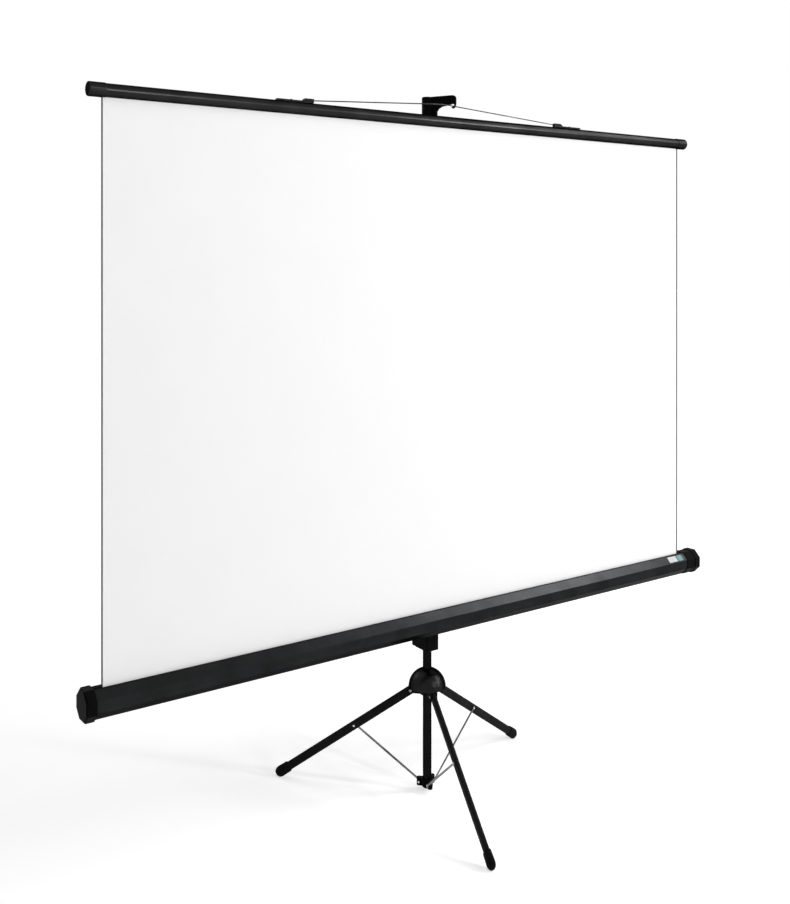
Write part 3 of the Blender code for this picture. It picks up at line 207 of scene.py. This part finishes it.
def woven(name, colour, rough, bump, mottle):
    """Coated cloth: a plain weave with faint slubs, matte.

    Blender's wave bands repeat after pi / 10 at a scale of one, so the pitch sets their scale.
    """
    material, tree, shader = new_material(name, CLOTH_SPECULAR)
    shader.inputs["Roughness"].default_value = rough
    shader.inputs["Sheen Weight"].default_value = CLOTH_SHEEN
    weave = tree.nodes.new("ShaderNodeMath")
    weave.operation = "MULTIPLY"
    for direction, factor in zip(("X", "Z"), weave.inputs):
        wave = node(tree, "ShaderNodeTexWave", Scale=math.pi / WEAVE_PITCH / 10,
                    Distortion=WEAVE_DISTORTION)
        wave.bands_direction = direction
        tree.links.new(coordinates(tree, "Object"), wave.inputs["Vector"])
        tree.links.new(wave.outputs["Fac"], factor)
    stops = [(SLUB_DARK, shade(colour, 1 - mottle)), (SLUB_PLAIN, shade(colour, 1))]
    slubs = ramp(tree, noise(tree, SLUB_SCALE, SLUB_DETAIL), stops)
    tree.links.new(slubs, shader.inputs["Base Color"])
    emboss(tree, shader, weave.outputs["Value"], bump, WEAVE_DEPTH)
    return material


MATERIALS = {
    "pole": surface("satin_black_pole", grey(0.006), 0.38,
                    metallic=1.0, grain=700, bump=0.10, edge=0.35),
    "bar": surface("satin_black_bar", grey(0.018), 0.25,
                   metallic=1.0, grain=600, bump=0.06, edge=0.35, rough_range=0.03),
    "leg": surface("satin_black_leg", grey(0.014), 0.42, grain=700, bump=0.12, specular=0.01),
    "case": surface("grey_black_case", (0.0145, 0.015, 0.0155), 0.29,
                    metallic=1.0, grain=1100, edge=0.45),
    "plastic": surface("moulded_black", grey(0.005), 0.46,
                       grain=1500, bump=0.35, specular=0.01, rough_range=0.1),
    "dome": surface("moulded_dome", grey(0.014), 0.30, metallic=1.0, grain=1500, edge=0.35),
    "rubber": surface("rubber_foot", grey(0.006), 0.72,
                      grain=1300, bump=0.5, specular=0.03, mottle=0.3),
    "nylon": surface("natural_nylon", (0.55, 0.54, 0.50), 0.42, grain=800, bump=0.1, mottle=0.05),
    "steel": surface("zinc_steel", (0.50, 0.50, 0.51), 0.26,
                     metallic=1.0, grain=500, bump=0.12, mottle=0.12),
    "dark_steel": surface("blackened_steel", grey(0.012), 0.34, grain=500, bump=0.12, specular=0.03),
    "strap": surface("rolled_strap", (0.12, 0.12, 0.125), 0.24, metallic=1.0, grain=350, mottle=0.5),
    "wire": surface("drawn_wire", (0.045, 0.045, 0.046), 0.22,
                    metallic=1.0, grain=500, bump=0.08, mottle=0.5, edge=0.5),
    "aluminium": surface("mill_aluminium", (0.72, 0.73, 0.74), 0.34, metallic=1.0, grain=500),
    "label": sticker("label_film", (0.52, 0.53, 0.53), (0.085, 0.185, 0.18)),
}
FABRIC_FRONT = woven("screen_front", grey(0.93), 0.9, 0.25, mottle=0.012)
FABRIC_BACK = woven("screen_back", (0.025, 0.025, 0.026), 0.8, 0.5, mottle=0.12)


def three(stem):
    """The names of a piece that the tripod has three of."""
    return [f"{stem}_{number}" for number in (1, 2, 3)]


def pair(stem):
    """The names of a piece at the left and at the right."""
    return [f"{stem}_{side}" for side in ("left", "right")]


PAINT = {
    "pole": ["outer_tube", "mast_tube"],
    "bar": ["bar_tube"] + pair("bar_cap"),
    "leg": three("leg_tube"),
    "case": ["case_shell"],
    "plastic": ["pole_plug", "brace_collar", "lock_collar", "lock_knob", "hub_body", "slider_carriage",
                "release_lever", "pivot_washer", "mast_hook"] + pair("end_cap"),
    "dome": ["hub_dome"],
    "rubber": three("foot"),
    "nylon": ["slider_liner", "idle_plug", "spring_plug", "mast_bush"],
    "steel": ["lock_screw", "lever_pin", "lever_spring", "pivot_bolt", "spring_shaft", "roller_spring"]
             + three("collar_rivet") + three("leg_rivet") + three("brace_stud"),
    "dark_steel": ["hook_pin"] + pair("bail_bracket") + pair("bail_screw"),
    "strap": three("brace") + three("hub_pin"),
    "wire": ["bail"],
    "aluminium": ["roller_tube", "batten"],
    "label": ["label_plate"],
}
for finish, names in PAINT.items():
    for name in names:
        mesh = nodes[name].data
        mesh.materials.clear()
        mesh.materials.append(MATERIALS[finish])


# Pieces

def new_piece(name, bm, materials, body):
    """A piece from a bmesh, riding on a body if one is given."""
    bmesh.ops.recalc_face_normals(bm, faces=bm.faces)
    mesh = bpy.data.meshes.new(name)
    bm.to_mesh(mesh)
    bm.free()
    for material in materials:
        mesh.materials.append(material)
    piece = bpy.data.objects.new(name, mesh)
    bpy.context.scene.collection.objects.link(piece)
    if body:
        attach(piece, body)
    return piece


def fabric_columns(low, high):
    """The X of each column of the sheet: its edges, and even steps between the dark strips."""
    left, right = low.x + LEFT_STRIP, high.x - RIGHT_STRIP
    inner = [left + (right - left) * i / FABRIC_COLUMNS for i in range(FABRIC_COLUMNS + 1)]
    return [low.x] + inner + [high.x]


def make_fabric():
    """The taut sheet from the roller to the bar: white coated front, dark backing and edges."""
    low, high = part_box("screen_fabric")
    x_row = fabric_columns(low, high)
    columns, rows = len(x_row) - 1, FABRIC_ROWS
    bm = bmesh.new()
    grid = []
    for y in (low.y, high.y):
        face = []
        for j in range(rows + 1):
            z = low.z + (high.z - low.z) * j / rows
            face.append([bm.verts.new((x, y, z)) for x in x_row])
        grid.append(face)
    front, rear = grid

    def add_face(corners, side):
        bm.faces.new(corners).material_index = side

    for j in range(rows):
        for i in range(columns):
            side = FRONT_SIDE if 0 < i < columns - 1 else BACK_SIDE
            add_face((front[j][i], front[j][i + 1], front[j + 1][i + 1], front[j + 1][i]), side)
            add_face((rear[j][i], rear[j + 1][i], rear[j + 1][i + 1], rear[j][i + 1]), BACK_SIDE)
    for j in range(rows):
        for i in (0, columns):
            add_face((front[j][i], front[j + 1][i], rear[j + 1][i], rear[j][i]), BACK_SIDE)
    for i in range(columns):
        for j in (0, rows):
            add_face((front[j][i], front[j][i + 1], rear[j][i + 1], rear[j][i]), BACK_SIDE)
    piece = new_piece("fabric_sheet", bm, [FABRIC_FRONT, FABRIC_BACK], None)
    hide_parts("screen_fabric")
    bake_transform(piece)


def make_roll():
    """The turns of fabric left on the roller, as one ring with softened ends."""
    low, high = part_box("fabric_roll")
    centre = Vector((0, (low.y + high.y) / 2, (low.z + high.z) / 2))
    outer = (high.z - low.z) / 2
    roller_low, roller_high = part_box("roller_tube")
    inner = (roller_high.z - roller_low.z) / 2 + ROLL_CLEARANCE
    outline = [(low.x, inner), (low.x, outer - ROLL_END_DROP), (low.x + ROLL_END_LENGTH, outer),
               (high.x - ROLL_END_LENGTH, outer), (high.x, outer - ROLL_END_DROP), (high.x, inner)]
    bm = bmesh.new()
    rings = []
    for x, radius in outline:
        ring = []
        for i in range(ROLL_SIDES):
            angle = 2 * math.pi * i / ROLL_SIDES
            spoke = Vector((x, radius * math.cos(angle), radius * math.sin(angle)))
            ring.append(bm.verts.new(centre + spoke))
        rings.append(ring)
    for first, second in zip(rings, rings[1:] + rings[:1]):
        for i in range(ROLL_SIDES):
            j = (i + 1) % ROLL_SIDES
            bm.faces.new((first[i], first[j], second[j], second[i]))
    piece = new_piece("fabric_turns", bm, [FABRIC_BACK], "roller")
    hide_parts("fabric_roll")


make_fabric()
make_roll()


# Camera

def make_camera():
    """The camera where the photograph was taken from."""
    camera = bpy.data.objects.new("camera", bpy.data.cameras.new("camera"))
    camera.data.sensor_width = SENSOR_WIDTH
    camera.data.lens = LENS
    camera.data.shift_y = CAMERA_SHIFT
    camera.data.clip_end = CAMERA_REACH
    camera.location = POLE + Vector(CAMERA_PLACE)
    camera.rotation_euler = (math.radians(CAMERA_TILT), 0.0, math.radians(CAMERA_TURN))
    bpy.context.scene.collection.objects.link(camera)
    bpy.context.scene.camera = camera


make_camera()


# Light and surroundings

def softbox(name, direction, distance, size, power, aim=(0, 0, 1.1)):
    """An area light at a distance from a point beside the pole, turned towards that point."""
    light = bpy.data.lights.new(name, "AREA")
    light.shape = "RECTANGLE"
    light.size, light.size_y = size
    light.energy = power
    target = POLE + Vector(aim)
    obj = bpy.data.objects.new(name, light)
    obj.location = target + Vector(direction).normalized() * distance
    obj.rotation_mode = "QUATERNION"
    obj.rotation_quaternion = (target - obj.location).to_track_quat("-Z", "Y")
    bpy.context.scene.collection.objects.link(obj)


softbox("key", (0.654, -0.287, 0.701), 7.2, (1.6, 1.6), 151, aim=(0.374, -0.09, 0.54))
softbox("front", (0.633, -0.758, 0.151), 8.0, (0.42, 2.24), 235, aim=(0.137, -0.0756, 1.932))
softbox("side", (0.345, -0.922, 0.167), 8.0, (0.35, 1.28), 118, aim=(-0.97, -0.0756, 1.932))
softbox("low", (0.746, -0.448, 0.484), 8.0, (2.4, 1.6), 124, aim=(0.0, 0.0, 0.35))
softbox("back", (-0.35, 0.85, 0.45), 8.0, (4.0, 3.0), 150)


def is_seen(tree):
    """One for camera, mirror and glass rays, nought for the light that falls on things."""
    path = tree.nodes.new("ShaderNodeLightPath")
    total = path.outputs["Is Camera Ray"]
    for name in ("Is Glossy Ray", "Is Transmission Ray"):
        add = tree.nodes.new("ShaderNodeMath")
        add.operation = "MAXIMUM"
        tree.links.new(total, add.inputs[0])
        tree.links.new(path.outputs[name], add.inputs[1])
        total = add.outputs["Value"]
    return total


def make_world():
    """A white world, dimmer as light than it looks."""
    world = bpy.data.worlds.new("studio")
    bpy.context.scene.world = world
    world.use_nodes = True
    tree = world.node_tree
    background = tree.nodes["Background"]
    background.inputs["Color"].default_value = shade(grey(1), 1)
    level = node(tree, "ShaderNodeMapRange", To_Min=WORLD_FILL, To_Max=WORLD_SEEN)
    tree.links.new(is_seen(tree), level.inputs["Value"])
    tree.links.new(level.outputs["Result"], background.inputs["Strength"])


def floor_glow(tree):
    """The glow of the floor where it is seen, which rises with distance to hide the horizon."""
    away = tree.nodes.new("ShaderNodeVectorMath")
    away.operation = "LENGTH"
    tree.links.new(coordinates(tree, "Object"), away.inputs[0])
    rise = node(tree, "ShaderNodeMapRange", From_Min=GLOW_START, From_Max=GLOW_END, To_Min=GLOW_NEAR,
                To_Max=GLOW_FAR)
    tree.links.new(away.outputs["Value"], rise.inputs["Value"])
    glow = tree.nodes.new("ShaderNodeMath")
    glow.operation = "MULTIPLY"
    tree.links.new(is_seen(tree), glow.inputs[0])
    tree.links.new(rise.outputs["Result"], glow.inputs[1])
    return glow.outputs["Value"]


def make_floor():
    """A wide white floor that keeps the object's shadow."""
    material, tree, shader = new_material("floor", FLOOR_SPECULAR)
    shader.inputs["Base Color"].default_value = shade(grey(FLOOR_SHADE), 1)
    shader.inputs["Roughness"].default_value = FLOOR_ROUGH
    shader.inputs["Emission Color"].default_value = shade(grey(1), 1)
    tree.links.new(floor_glow(tree), shader.inputs["Emission Strength"])
    bm = bmesh.new()
    bmesh.ops.create_circle(bm, cap_ends=True, segments=FLOOR_SIDES, radius=FLOOR_RADIUS)
    mesh = bpy.data.meshes.new("floor")
    bm.to_mesh(mesh)
    bm.free()
    mesh.materials.append(material)
    floor = bpy.data.objects.new("floor", mesh)
    floor.location.z = -FLOOR_GAP
    bpy.context.scene.collection.objects.link(floor)


make_world()
make_floor()

bpy.context.scene.view_settings.view_transform = "Standard"
